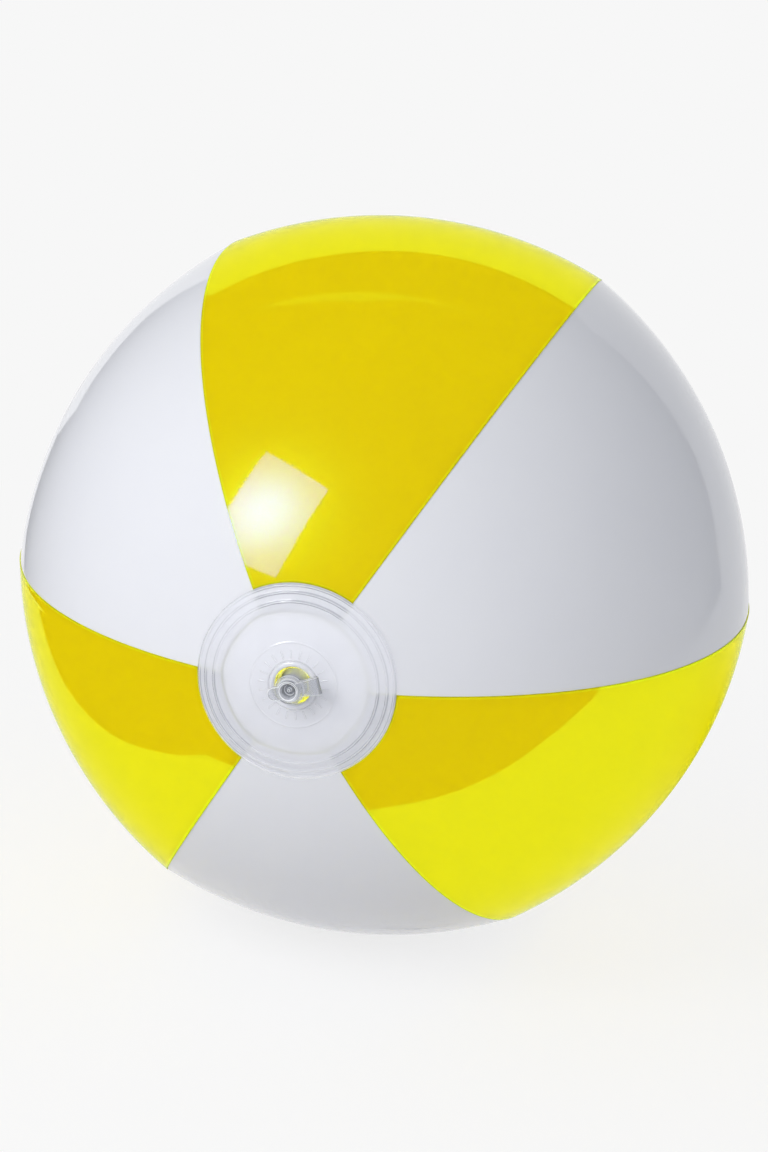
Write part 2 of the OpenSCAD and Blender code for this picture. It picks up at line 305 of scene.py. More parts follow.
def yellow_shine(tree, normal, cloud):
    """The tinted mirror image on the film, and its share of what the eye sees."""
    # Straight on, the shine only adds the blue that yellow lacks, which turns a lamp's image white.
    # Slanting, it is lemon, and at the outline it is nearly white
    slant = add(tree, "ShaderNodeMapRange", {
        0: edge_on(tree, normal, power=1), 1: SLANT_FROM, 2: SLANT_TO,
    }, interpolation_type="SMOOTHSTEP")
    tint = add(tree, "ShaderNodeMix", {
        "Factor": slant, 6: linear("#050541"), 7: linear("#78BC24"),
    }, out=2, data_type="RGBA")
    outline = edge_on(tree, normal, power=8)
    tint = add(tree, "ShaderNodeMix", {
        "Factor": outline, 6: tint, 7: linear("#EAF0F0"),
    }, out=2, data_type="RGBA")
    rough = add(tree, "ShaderNodeMapRange", {
        0: cloud, 1: CLOUD_LOW, 2: CLOUD_HIGH, 3: 0.03, 4: 0.05,
    })
    shine = add(tree, "ShaderNodeBsdfGlossy", {
        "Color": tint, "Roughness": rough, "Normal": normal,
    })
    share = add(tree, "ShaderNodeMapRange", {
        0: outline, 3: SHINE_SHARE, 4: OUTLINE_SHARE,
    }, interpolation_type="SMOOTHSTEP")
    return shine, share


print(f"the shine's share goes from {SHINE_SHARE:.0%} to {OUTLINE_SHARE:.0%} at the outline")

# %% Yellow film: put together
BARE_FROM, BARE_TO = 0.5 * MM, 0.2 * MM   # inside the patch's rim


def yellow_film_material():
    """Calendered film, dyed all over but for the tips under the end patches."""
    material, tree = new_material("calendered_pvc_film_dyed_yellow")
    normal, cloud = film_grain(tree)
    radius = pole_distance(tree)
    body = yellow_body(tree, normal, cloud, radius)
    shine, share = yellow_shine(tree, normal, cloud)
    film = add(tree, "ShaderNodeMixShader", {0: share, 1: body, 2: shine})
    bare = add(tree, "ShaderNodeBsdfPrincipled", {
        "Base Color": linear("#DADCE2"), "Roughness": 0.2, "IOR": 1.54, "Normal": normal,
    })
    edge = add(tree, "ShaderNodeMapRange", {
        0: radius, 1: patch_r - BARE_FROM, 2: patch_r - BARE_TO,
    }, interpolation_type="SMOOTHSTEP")
    surface = add(tree, "ShaderNodeMixShader", {0: edge, 1: bare, 2: film})
    add(tree, "ShaderNodeOutputMaterial", {"Surface": surface})
    return material


yellow_film = yellow_film_material()
print("made", yellow_film.name)

# %% Inner faces of the film
YELLOW_INSIDE, WHITE_INSIDE, CUT_EDGE = 0.25, 0.9, 1.0   # how much of the face itself is seen


def inner_face_material(name, seen_share):
    """Inner face, painted lemon as painted light that came through yellow film. The rest goes on to
    the outer face.
    """
    material, tree = new_material(name)
    normal, cloud = film_grain(tree)
    # Painted light: this lemon tone stands in for the yellow light inside the ball, on white panels
    # too
    dyed = add(tree, "ShaderNodeMix", {
        "Factor": cloud, 6: linear("#E2E41A"), 7: linear("#E6E81C"),
    }, out=2, data_type="RGBA")
    inside = add(tree, "ShaderNodeBsdfDiffuse", {"Color": dyed, "Normal": normal})
    through = add(tree, "ShaderNodeBsdfTransparent", {"Color": linear("#FEFEFC")})
    # The thin lap of a white panel lets all of it through to the yellow edge on top
    seam = add(tree, "ShaderNodeAttribute", {}, out="Fac", attribute_name="seam_mm")
    share = add(tree, "ShaderNodeMapRange", {
        0: seam, 1: LAP_FROM_MM, 2: LAP_TO_MM, 4: seen_share,
    })
    surface = add(tree, "ShaderNodeMixShader", {0: share, 1: through, 2: inside})
    add(tree, "ShaderNodeOutputMaterial", {"Surface": surface})
    return material


inner_yellow = inner_face_material("calendered_pvc_film_yellow_inner_face", YELLOW_INSIDE)
inner_white = inner_face_material("calendered_pvc_film_white_inner_face", WHITE_INSIDE)
# A cut edge gathers the light that runs along inside the film, so it is painted lemon from all
# sides, as painted light
cut_edge = inner_face_material("calendered_pvc_film_yellow_cut_edge", CUT_EDGE)
print("made", inner_yellow.name, inner_white.name, "and", cut_edge.name)

# %% [markdown]
# ## The six panels
# A panel could be cut out of a sphere, but then it would lack the flatter middle and the ridged
# seams. Here each panel starts as a flat grid, and every point of the grid is moved to its place on
# the panel: along the grid from tip to tip, and across it from seam to seam. The grid is closer set
# beside the seams, where the film puckers a little. White film runs on under its yellow neighbours
# as the welded lap, so beyond the seam it follows the neighbour's surface.

# %% Shape of a panel
def film_point(turn, rise, lift):
    """A point of the panel whose middle is at turn 0, lifted off the even shape."""
    reach = arc_x + (arc_r + lift) * math.cos(rise)
    side = panel_shift * math.sin(turn)
    out = math.sqrt((reach + panel_shift) ** 2 - side**2) - panel_shift * math.cos(turn)
    return Vector((out * math.cos(turn), out * math.sin(turn), (arc_r + lift) * math.sin(rise)))


def across_panel(radius, turn):
    """How far out a point lies when it is measured along the panel's middle."""
    square = radius**2 + 2 * panel_shift * radius * math.cos(turn) + panel_shift**2
    return math.sqrt(square) - panel_shift


def tip_rise(turn):
    """Angle up the arc at which a panel ends in the round opening at its tip."""
    return math.acos((across_panel(TIP_R, turn) - arc_x) / arc_r)


def ease(x):
    """Goes softly from 0 to 1."""
    x = min(max(x, 0.0), 1.0)
    return x * x * (3 - 2 * x)


print(f"a panel runs {math.degrees(tip_rise(0)):.1f} degrees up its arc to each tip")

# %% Slack of the film
PUCKER_H = 0.12 * MM
PUCKER_W = 6 * MM
PUCKER_LEN = 9 * MM
PUCKER_GROUP = 5 * PUCKER_LEN
PUCKER_MEAN = 0.15
SIDE_OFF, RIPPLE_OFF = 0.2, 10   # these keep the noise of a panel's two seams apart
BILLOW_H = 0.06 * MM
BILLOW_LEN = 55 * MM
BILLOW_EDGE = 15 * MM
CALM_W = 14 * MM   # beside an end patch the film is held flat
# Small creases: turn and rise of the middle, heading, half length, half width and height
CREASES = {
    "panel_white_bottom": [(17, 29, -18, 13 * MM, 1.4 * MM, 0.5 * MM)],
    "panel_yellow_left": [(-28.6, 34, 84, 12 * MM, 0.7 * MM, 0.35 * MM)],
}


def slack(node, seed, turn, rise, seam):
    """How far the film stands off its even shape: puckers, slow billows and creases."""
    along = Vector((rise * arc_r, math.copysign(SIDE_OFF, turn), seed))
    strength = max(0.0, noise.noise(along * (1 / PUCKER_GROUP)) + PUCKER_MEAN)
    ripple = noise.noise(Vector((along.x / PUCKER_LEN, RIPPLE_OFF * along.y, seed)))
    pucker = PUCKER_H * strength * ripple * (seam / PUCKER_W) * math.exp(1 - seam / PUCKER_W)
    flat = Vector((along.x, turn * ball_r, seed * BILLOW_LEN)) / BILLOW_LEN
    billow = BILLOW_H * noise.noise(flat) * ease(seam / BILLOW_EDGE)
    lift = pucker + billow
    for middle, up, heading, half_length, half_width, height in CREASES.get(node, []):
        x = (turn - math.radians(middle)) * ball_r
        y = (rise - math.radians(up)) * arc_r
        c, s = math.cos(math.radians(heading)), math.sin(math.radians(heading))
        run, off = x * c + y * s, y * c - x * s
        lift += height * math.exp(-((run / half_length) ** 2) - (off / half_width) ** 2)
    end = arc_r * (tip_rise(0) - abs(rise))
    return lift * ease((end - (patch_r - TIP_R)) / CALM_W)


print("creases on", ", ".join(CREASES))

# %% Build the panels
ACROSS, ALONG = 72, 208
PANEL_TURNS = {
    "panel_white_right": 30, "panel_yellow_top": 90, "panel_white_left": 150,
    "panel_yellow_left": 210, "panel_white_bottom": 270, "panel_yellow_right": 330,
}
# Slot, outer face, inner face and cut edge
YELLOW_FINISH = ("yellow_film", yellow_film, inner_yellow, cut_edge)
WHITE_FINISH = ("white_film", white_film, inner_white, inner_white)


def build_panel(node, middle):
    """One panel, from a flat grid whose points are moved to their places on the film."""
    yellow = "yellow" in node
    sunk = 0.0 if yellow else -FILM_T - WELD_GAP
    bm = bmesh.new()
    bmesh.ops.create_grid(bm, x_segments=ACROSS, y_segments=ALONG, size=1)
    seam_mm = bm.verts.layers.float.new("seam_mm")
    for vert in bm.verts:
        rise = vert.co.y * tip_rise(HALF_TURN * vert.co.x)
        out = arc_x + arc_r * math.cos(rise)
        edge = HALF_TURN if yellow else HALF_TURN + LAP_W / out
        turn = edge * math.sin(vert.co.x * math.pi / 2)
        seam = (HALF_TURN - abs(turn)) * out
        vert[seam_mm] = seam / MM
        if seam >= 0:
            lift = sunk + slack(node, middle, turn, rise, seam)
            vert.co = film_point(turn, rise, lift)
        else:
            over = math.copysign(2 * HALF_TURN, turn)
            vert.co = film_point(turn - over, rise, sunk - WELD_GAP)
            vert.co.rotate(Matrix.Rotation(over, 3, "Z"))
    bmesh.ops.rotate(bm, verts=bm.verts[:], matrix=Matrix.Rotation(math.radians(middle), 3, "Z"))
    slot, outer_face, inner_face, rim = YELLOW_FINISH if yellow else WHITE_FINISH
    piece = make_piece(node.replace("panel", "film"), bm, outer_face)
    piece.data.materials.append(inner_face)
    piece.data.materials.append(rim)
    wall = thicken(piece, FILM_T)
    wall.use_even_offset = True
    wall.material_offset = 1
    wall.material_offset_rim = 2
    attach(piece, "ball")
    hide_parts(node)
    return piece


panels = [build_panel(node, middle) for node, middle in PANEL_TURNS.items()]
print("built", len(panels), "panels of", ACROSS * ALONG, "faces each")

# %% [markdown]
# ## Clear PVC film
# The end patch is undyed film. A thin sheet doesn't bend the view, so it is a mix of plain
# transparency and white haze, about half of each, under a glossy layer that grows where the film is
# seen edge on. The flanks of its weld rings have a darker haze, which is painted shade.

# %% Clear film material
CLEAR_EDGE_SHINE = 0.9


def clear_film_material(name, haze_low, haze_high, mirror_low):
    """Undyed film: see-through with some haze, and mirror-like where it is seen edge on."""
    material, tree = new_material(name)
    normal, cloud = film_grain(tree)
    through = add(tree, "ShaderNodeBsdfTransparent", {"Color": linear("#FEFEFF")})
    # Painted shade: the haze is darker on the weld rings' flanks
    flank_shade_mask = add(tree, "ShaderNodeAttribute", {}, out="Fac", attribute_name="painted_flank_shade")
    tone = add(tree, "ShaderNodeMix", {
        "Factor": flank_shade_mask, 6: linear("#F7F8FC"), 7: linear("#D4D6DC"),
    }, out=2, data_type="RGBA")
    haze = add(tree, "ShaderNodeBsdfDiffuse", {"Color": tone, "Normal": normal})
    amount = add(tree, "ShaderNodeMapRange", {
        0: cloud, 1: CLOUD_LOW, 2: CLOUD_HIGH, 3: haze_low, 4: haze_high,
    })
    body = add(tree, "ShaderNodeMixShader", {0: amount, 1: through, 2: haze})
    shine = add(tree, "ShaderNodeBsdfGlossy", {
        "Color": linear("#FFFFFF"), "Roughness": 0.06, "Normal": normal,
    })
    mirror = add(tree, "ShaderNodeMapRange", {
        0: edge_on(tree, normal, power=1.5), 3: mirror_low, 4: CLEAR_EDGE_SHINE,
    })
    film = add(tree, "ShaderNodeMixShader", {0: mirror, 1: body, 2: shine})
    # Lamps shine through it, so what lies behind isn't in its shade
    ray = add(tree, "ShaderNodeLightPath", {}, out="Is Shadow Ray")
    surface = add(tree, "ShaderNodeMixShader", {0: ray, 1: film, 2: through})
    add(tree, "ShaderNodeOutputMaterial", {"Surface": surface})
    return material


clear_film = clear_film_material("calendered_pvc_film_clear_welded", 0.54, 0.64, 0.01)
thin_clear = clear_film_material("dip_moulded_pvc_clear_thin", 0.01, 0.03, 0.003)
print("made", clear_film.name, "and", thin_clear.name)

# %% [markdown]
# ## End patches and backings
# A patch is a shallow round cap with weld rings. A profile from its hole to its rim, spun once
# round the axis, makes the cap, and a Solidify modifier gives it the film's thickness. The rings
# are smooth waves in the profile, so they catch the light as the real ones do. They are lower over
# the white tips, which lie deeper than the yellow ones.
# Behind the tips lies a plain white disc, which shows through the clear film.

# %% Sizes of the caps
PATCH_T = 0.3 * MM
FOOT_T = 1.4 * MM
COLLAR_R = 9.2 * MM
COLLAR_GAP = 0.1 * MM
HOLE_R = 7 * MM
foot_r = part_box("valve_flange")[1].x
FOOT_RING_W, FOOT_RING_H = 0.5 * MM, 0.12 * MM
RIDGE_W, RIDGE_H = 0.75 * MM, 0.65 * MM
# Weld rings: middle, half width and height
RINGS = [(foot_r, FOOT_RING_W, FOOT_RING_H)] + [
    (middle, RIDGE_W, RIDGE_H) for middle in (30.5 * MM, 33.75 * MM, patch_r - RIDGE_W)
]
print(len(RINGS), "rings, at radii of", [round(ring[0] / MM, 2) for ring in RINGS], "mm")

# %% Where the caps lie
def skin_height(radius, turn, lift):
    """Height of a panel's skin above the ball's centre, at a distance from the axis."""
    return math.sqrt((arc_r + lift) ** 2 - (across_panel(radius, turn) - arc_x) ** 2)


def cap_centre(r1, z1, r2, z2):
    """Height of the centre of the sphere that passes through two rings."""
    return (r1**2 + z1**2 - r2**2 - z2**2) / (2 * (z1 - z2))


tip_z = skin_height(TIP_R, HALF_TURN, 0) + WELD_GAP
rim_z = skin_height(patch_r, HALF_TURN, 0) + WELD_GAP
patch_c = cap_centre(TIP_R, tip_z, patch_r, rim_z)
patch_in_r = math.hypot(TIP_R, tip_z - patch_c)
valve_z = patch_c + patch_in_r + PATCH_T
backing_top_z = patch_c + patch_in_r - FOOT_T - 2 * WELD_GAP
backing_rim_z = skin_height(patch_r, 0, -2 * FILM_T - WELD_GAP) - WELD_GAP
backing_c = cap_centre(0, backing_top_z, patch_r, backing_rim_z)
backing_r = backing_top_z - backing_c
print(f"patch top is {valve_z / MM:.2f} mm from the ball's centre")

# %% Profile of a patch
RING_STEPS = 12
CAP_STEPS = 12


def patch_face(radius):
    """Height of the patch's outer face without its rings."""
    return patch_c + math.sqrt((patch_in_r + PATCH_T) ** 2 - radius**2)


def patch_top(radius):
    """Height of the patch's outer face, with the smooth ridges of the weld rings."""
    height = patch_face(radius)
    for middle, half_width, ridge_h in RINGS:
        off = (radius - middle) / half_width
        if abs(off) < 1:
            height += ridge_h * (1 + math.cos(math.pi * off)) / 2
    return height


def flank_share(radius):
    """Share of painted shade: 1 on the steepest part of a weld ring's flanks, and 0 on its top and
    on the plain film.
    """
    offs = [(radius - middle) / half_width for middle, half_width, _ in RINGS]
    return max(math.sin(math.pi * off) ** 2 if abs(off) < 1 else 0.0 for off in offs)


def patch_radii(open_r):
    """Radii of the profile: even steps over the plain film and close ones over each ridge."""
    radii = []
    start = open_r
    for middle, half_width, _ in RINGS:
        end = middle - half_width
        radii += [start + (end - start) * i / CAP_STEPS for i in range(CAP_STEPS)]
        radii += [end + 2 * half_width * i / RING_STEPS for i in range(RING_STEPS)]
        start = middle + half_width
    return radii + [start]


print("a patch's profile has", len(patch_radii(0)), "points")

# %% Build the patches
ROUND = 192
WHITE_WELD = 0.35   # height of a ring over the white tips, as a share of that over the yellow
WELD_FADE_DEG = 2


def spin_round(bm, profile, steps):
    """Spins a profile of (radius, height) points once round the axis."""
    verts = [bm.verts.new((r, 0, z)) for r, z in profile]
    edges = [bm.edges.new(pair) for pair in zip(verts, verts[1:])]
    bmesh.ops.spin(
        bm, geom=verts + edges, cent=(0, 0, 0), axis=(0, 0, 1), dvec=(0, 0, 0),
        angle=2 * math.pi, steps=steps, use_merge=True, use_duplicate=False,
    )
    bmesh.ops.remove_doubles(bm, verts=bm.verts[:], dist=SMALLEST)


def weld_depth(x, y):
    """Share of a ring's height: full over the yellow tips, which lie on top, less over white."""
    round_ball = math.degrees(math.atan2(y, x))
    off_white = abs((round_ball + SEAM_DEG) % (4 * SEAM_DEG) - 2 * SEAM_DEG)
    past_seam = off_white - SEAM_DEG + WELD_FADE_DEG / 2
    return WHITE_WELD + (1 - WHITE_WELD) * ease(past_seam / WELD_FADE_DEG)


def build_patch(name, node, open_r, far):
    """A clear cap with its weld rings, turned over for the far end."""
    bm = bmesh.new()
    spin_round(bm, [(r, patch_top(r)) for r in patch_radii(open_r)], ROUND)
    painted_flank_shade = bm.verts.layers.float.new("painted_flank_shade")
    for vert in bm.verts:
        radius = math.hypot(vert.co.x, vert.co.y)
        if radius > TIP_R:
            flat = patch_face(radius)
            depth = weld_depth(vert.co.x, -vert.co.y if far else vert.co.y)
            vert.co.z = flat + (vert.co.z - flat) * depth
            # Painted shade on the weld rings' flanks, which the clear film reads
            vert[painted_flank_shade] = depth * flank_share(radius)
    if far:
        bmesh.ops.rotate(bm, verts=bm.verts[:], matrix=Matrix.Rotation(math.pi, 3, "X"))
    patch = make_piece(name, bm, clear_film)
    patch.data.materials.append(thin_clear)
    thicken(patch, PATCH_T).material_offset = 1
    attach(patch, "ball")
    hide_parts(node)


build_patch("clear_patch_valve_end", "valve_end_patch", COLLAR_R + COLLAR_GAP, False)
build_patch("clear_patch_far_end", "far_end_patch", 0, True)
print("built two patches,", ROUND, "steps round")

# %% Build the backings
def build_backing(name, node, open_r, far):
    """A plain white cap behind the tips, turned over for the far end."""
    bm = bmesh.new()
    radii = [open_r + (patch_r - open_r) * i / CAP_STEPS for i in range(CAP_STEPS + 1)]
    spin_round(bm, [(r, backing_c + math.sqrt(backing_r**2 - r * r)) for r in radii], ROUND)
    seam_mm = bm.verts.layers.float.new("seam_mm")
    for vert in bm.verts:
        vert[seam_mm] = patch_r / MM   # no seam is near
    if far:
        bmesh.ops.rotate(bm, verts=bm.verts[:], matrix=Matrix.Rotation(math.pi, 3, "X"))
    backing = make_piece(name, bm, bare_film)
    thicken(backing, FILM_T)
    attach(backing, "ball")
    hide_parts(node)


build_backing("white_backing_valve_end", "valve_end_backing", HOLE_R, False)
build_backing("white_backing_far_end", "far_end_backing", 0, True)
print(f"built two backings, {(valve_z - backing_top_z) / MM:.2f} mm under the patches' tops")

# %% [markdown]
# ## Moulded clear PVC
# The valve is injection moulded in one go from soft clear PVC, thick enough to bend the light, so
# this material is glass-like transmission mixed with the grey haze of the flow marks. The haze is
# stronger where a face is seen edge on, and painted darker there: painted shade for the dark edges
# of thick clear plastic. Rounded edges get a paler material, a painted highlight. For shadow rays
# alone all of it is swapped for plain grey transparency, so lamps shine through and leave a soft
# shade.

# %% Clear moulding material
FLOW_MM = 2.5
FLOW_H = 0.05 * MM


def clear_moulding_material(name, haze_low, haze_high, face_tone, edge_shade_tone):
    """Moulded clear PVC: it bends the view, is hazy from its flow marks, and has edges of painted
    grey shade.
    """
    material, tree = new_material(name)
    place = add(tree, "ShaderNodeTexCoord", {}, out="Object")
    flow = add(tree, "ShaderNodeTexNoise", {
        "Vector": place, "Scale": 1 / (FLOW_MM * MM), "Detail": 0,
    })
    normal = add(tree, "ShaderNodeBump", {"Height": flow, "Strength": 1.0, "Distance": FLOW_H})
    colour = add(tree, "ShaderNodeMix", {
        "Factor": flow, 6: linear("#F0F1F4"), 7: linear("#F8F9FB"),
    }, out=2, data_type="RGBA")
    rough = add(tree, "ShaderNodeMapRange", {
        0: flow, 1: CLOUD_LOW, 2: CLOUD_HIGH, 3: 0.02, 4: 0.07,
    })
    glass = add(tree, "ShaderNodeBsdfPrincipled", {
        "Base Color": colour, "Roughness": rough, "Normal": normal, "IOR": 1.45,
        "Transmission Weight": 1.0,
    })
    edge = edge_on(tree, normal, power=2)
    # Painted shade: the haze turns dark grey where a face is seen edge on
    grey = add(tree, "ShaderNodeMix", {
        "Factor": edge, 6: linear(face_tone), 7: linear(edge_shade_tone),
    }, out=2, data_type="RGBA")
    haze = add(tree, "ShaderNodeBsdfDiffuse", {"Color": grey, "Normal": normal})
    share = add(tree, "ShaderNodeMapRange", {0: edge, 3: haze_low, 4: haze_high})
    body = add(tree, "ShaderNodeMixShader", {0: share, 1: glass, 2: haze})
    clear = add(tree, "ShaderNodeBsdfTransparent", {"Color": linear("#C4C6CB")})
    ray = add(tree, "ShaderNodeLightPath", {}, out="Is Shadow Ray")
    surface = add(tree, "ShaderNodeMixShader", {0: ray, 1: body, 2: clear})
    add(tree, "ShaderNodeOutputMaterial", {"Surface": surface})
    return material


clear_moulding = clear_moulding_material(
    "injection_moulded_pvc_clear", 0.32, 0.9, "#D2D4D9", "#383A3F")
hazed_moulding = clear_moulding_material(
    "injection_moulded_pvc_hazed", 0.85, 0.97, "#D6D8DD", "#444650")
# Painted highlight: rounded edges get paler tones of their own, so they look white
painted_highlight_edge = clear_moulding_material(
    "injection_moulded_pvc_bright_edge", 0.85, 0.85, "#F6F7F9", "#D8DADE")
print("made", clear_moulding.name, hazed_moulding.name, "and", painted_highlight_edge.name)

# %% [markdown]
# ## The valve's foot, sleeve and stem
# All of these are round, so each is a closed profile spun about the valve's axis. Sharp circles are
# then bevelled, because a moulded edge is never sharp and clear plastic shows every edge.

# %% Helpers for round mouldings
VALVE_STEPS = 64
SHARP = math.radians(30)


def spin_closed(profile):
    """A ring from a closed profile of (radius, height) points."""
    bm = bmesh.new()
    spin_round(bm, profile + profile[:1], VALVE_STEPS)
    return bm


def round_edges(bm, width, segments=3):
    """Bevels every edge that turns sharply, and gives back the new faces."""
    bmesh.ops.recalc_face_normals(bm, faces=bm.faces[:])
    sharp = [e for e in bm.edges if len(e.link_faces) == 2 and e.calc_face_angle() > SHARP]
    return bmesh.ops.bevel(
        bm, geom=sharp, offset=width, offset_type="OFFSET", affect="EDGES",
        segments=segments, profile=0.5, material=-1, clamp_overlap=True,
    )["faces"]


def paint_highlight_faces(faces):
    """Puts faces in the second material slot, the one with the painted highlight."""
    for face in faces:
        face.material_index = 1


print("round mouldings are spun in", VALVE_STEPS, "steps")

# %% Foot with its collar
COLLAR_H = 0.6 * MM
DOME_STEPS = 8
FOOT_EDGE = 0.2 * MM
foot_low_z = backing_c + math.sqrt(backing_r**2 - HOLE_R**2) + WELD_GAP
collar_top_z = valve_z + COLLAR_H
collar_w = COLLAR_R - HOLE_R


def foot_top(radius):
    """Height of the foot's upper face, under the patch."""
    return patch_c + math.sqrt((patch_in_r - WELD_GAP) ** 2 - radius**2)


def foot_low(radius):
    """Height of the foot's lower face, on the backing."""
    return backing_c + math.sqrt((backing_r + WELD_GAP) ** 2 - radius**2)


dome = [
    (HOLE_R + collar_w / 2 * (1 - math.cos(a)), collar_top_z - collar_w / 2 * (1 - math.sin(a)))
    for a in [math.pi * i / DOME_STEPS for i in range(DOME_STEPS + 1)]
]
bm = spin_closed(
    [(HOLE_R, foot_low(HOLE_R))] + dome + [(COLLAR_R, foot_top(COLLAR_R))]
    + [(foot_r, foot_top(foot_r)), (foot_r, foot_low(foot_r)), (COLLAR_R, foot_low(COLLAR_R))]
)
round_edges(bm, FOOT_EDGE)
foot = make_piece("valve_foot", bm, clear_film)
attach(foot, "ball")
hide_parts("valve_flange")
print(f"foot {2 * foot_r / MM:.1f} mm across")

# %% Ribs round the collar
RIB_COUNT = 22
RIB_FROM, RIB_TO = 10.2 * MM, 13.2 * MM
RIB_W = 0.6 * MM
RIB_H = 0.5 * MM
RIB_PROUD = 0.22 * MM
RIB_EDGE = 0.18 * MM
rib_r = (RIB_FROM + RIB_TO) / 2
lean = Matrix.Rotation(math.asin(rib_r / (patch_in_r + PATCH_T)), 4, "Y")
lift = Matrix.Translation((rib_r, 0, patch_top(rib_r) + RIB_PROUD - RIB_H / 2))
shape = Matrix.Diagonal((RIB_TO - RIB_FROM, RIB_W, RIB_H, 1))
bm = bmesh.new()
for i in range(RIB_COUNT):
    turned = Matrix.Rotation(2 * math.pi * i / RIB_COUNT, 4, "Z")
    bmesh.ops.create_cube(bm, size=1, matrix=turned @ lift @ lean @ shape)
round_edges(bm, RIB_EDGE)
ribs = make_piece("collar_ribs", bm, clear_film)
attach(ribs, "ball")
print("moulded", RIB_COUNT, "ribs")

# %% Sleeve between foot and stem
BOOT_T = 0.6 * MM
BOOT_RIM_H = 0.9 * MM
BOOT_EDGE = 0.15 * MM
BOOT_CUTS = 6
SLANT_H = 1.5 * MM   # only the sleeve's slanting edges climb more than this
ROOT_H = 1.4 * MM
stem_low, stem_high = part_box("valve_stem")
root_z, mouth_z, root_r = -stem_high.y, -stem_low.y, stem_high.x
boot_top_r = HOLE_R - WELD_GAP
boot_low_r = root_r + WELD_GAP
boot_rim_z = foot_low_z + BOOT_RIM_H
bm = spin_closed([
    (boot_top_r, boot_rim_z), (boot_top_r, foot_low_z),
    (boot_low_r + BOOT_T, root_z), (boot_low_r, root_z), (boot_low_r, root_z + ROOT_H),
    (boot_top_r - BOOT_T, foot_low_z + BOOT_RIM_H / 2), (boot_top_r - BOOT_T, boot_rim_z),
])
slanting = [e for e in bm.edges if abs(e.verts[0].co.z - e.verts[1].co.z) > SLANT_H]
bmesh.ops.subdivide_edges(bm, edges=slanting, cuts=BOOT_CUTS, use_grid_fill=True)
round_edges(bm, BOOT_EDGE, 2)
boot = make_piece("valve_sleeve", bm, thin_clear)
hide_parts("valve_boot")
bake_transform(boot)
print("sleeve slants from the foot to the stem")

# %% Stem
STEM_R = 4.5 * MM
STEM_EDGE = 0.3 * MM
ROOT_CONE_H = 2.6 * MM
THROAT_R = 2.5 * MM
SOCKET_R = 3.2 * MM
SOCKET_DEPTH = 3.2 * MM
bm = spin_closed([
    (THROAT_R, root_z), (root_r, root_z), (root_r, root_z + ROOT_H),
    (STEM_R, root_z + ROOT_H + ROOT_CONE_H), (STEM_R, mouth_z), (SOCKET_R, mouth_z),
    (SOCKET_R, mouth_z - SOCKET_DEPTH), (THROAT_R, mouth_z - SOCKET_DEPTH),
])
# The bevels get the painted highlight material
paint_highlight_faces(round_edges(bm, STEM_EDGE))
stem = make_piece("valve_tube", bm, hazed_moulding)
stem.data.materials.append(painted_highlight_edge)
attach(stem, "stem")
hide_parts("valve_stem")
print(f"stem stands {(mouth_z - valve_z) / MM:.1f} mm out of the patch")

# %% [markdown]
# ## The check flap
# Inside the ball a thin round flap covers the stem's inner end. Air coming in pushes it open, and
# the ball's own pressure shuts it. It is a disc with a round bead at one side that it hinges on.

# %% Flap
STRAP_TURN = math.radians(18)
FLAP_R, FLAP_SIDES = 3.5 * MM, 48
FLAP_T = 0.5 * MM
FLAP_GAP = 0.1 * MM
FLAP_EDGE = 0.12 * MM
BEAD_R, BEAD_SIDES = 0.4 * MM, 20
BEAD_LEN = 4 * MM
BEAD_REACH = 4.4 * MM
flap_top_z = root_z - FLAP_GAP
turn_strap = Matrix.Rotation(STRAP_TURN, 4, "Z")
bm = bmesh.new()
bmesh.ops.create_circle(bm, cap_ends=True, radius=FLAP_R, segments=FLAP_SIDES)
for vert in bm.verts:
    if abs(vert.co.y) < BEAD_LEN / 2 and vert.co.x < 0:
        vert.co.x = -BEAD_REACH
disc = bmesh.ops.extrude_face_region(bm, geom=bm.faces[:])
lifted = [g for g in disc["geom"] if isinstance(g, bmesh.types.BMVert)]
bmesh.ops.translate(bm, verts=lifted, vec=(0, 0, FLAP_T))
round_edges(bm, FLAP_EDGE, 2)
bead_middle = Matrix.Translation((-BEAD_REACH, 0, FLAP_T - BEAD_R))
bmesh.ops.create_cone(
    bm, cap_ends=True, radius1=BEAD_R, radius2=BEAD_R, depth=BEAD_LEN, segments=BEAD_SIDES,
    matrix=bead_middle @ Matrix.Rotation(math.pi / 2, 4, "X"),
)
bmesh.ops.translate(bm, verts=bm.verts[:], vec=(0, 0, flap_top_z - FLAP_T))
bmesh.ops.transform(bm, matrix=turn_strap, verts=bm.verts[:])
flap = make_piece("valve_check_flap", bm, hazed_moulding)
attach(flap, "flap")
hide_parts("check_flap")
print(f"flap {2 * FLAP_R / MM:.1f} mm across")

# %% [markdown]
# ## The stopper and its strap
# The stopper is a hollow plug with a wide head, flared to a cup round a small nub. A tab to pull it
# by is extruded from one side of the head, so head and tab are one closed skin. The strap starts
# the same way, from a ring that hugs the stem: a few faces of the ring are drawn out, spun half
# round into a bend, and led back to the head. The bevels of both get a paler material, a painted
# highlight.

# %% Helpers for drawn-out faces
BESIDE = 0.05 * MM


def draw_out(bm, faces, reach):
    """Extrudes faces and moves the new points to where reach says. Returns the new faces."""
    pulled = bmesh.ops.extrude_face_region(bm, geom=faces)["geom"]
    bmesh.ops.delete(bm, geom=faces, context="FACES_ONLY")
    for vert in [g for g in pulled if isinstance(g, bmesh.types.BMVert)]:
        vert.co = reach(vert.co)
    return [g for g in pulled if isinstance(g, bmesh.types.BMFace)]


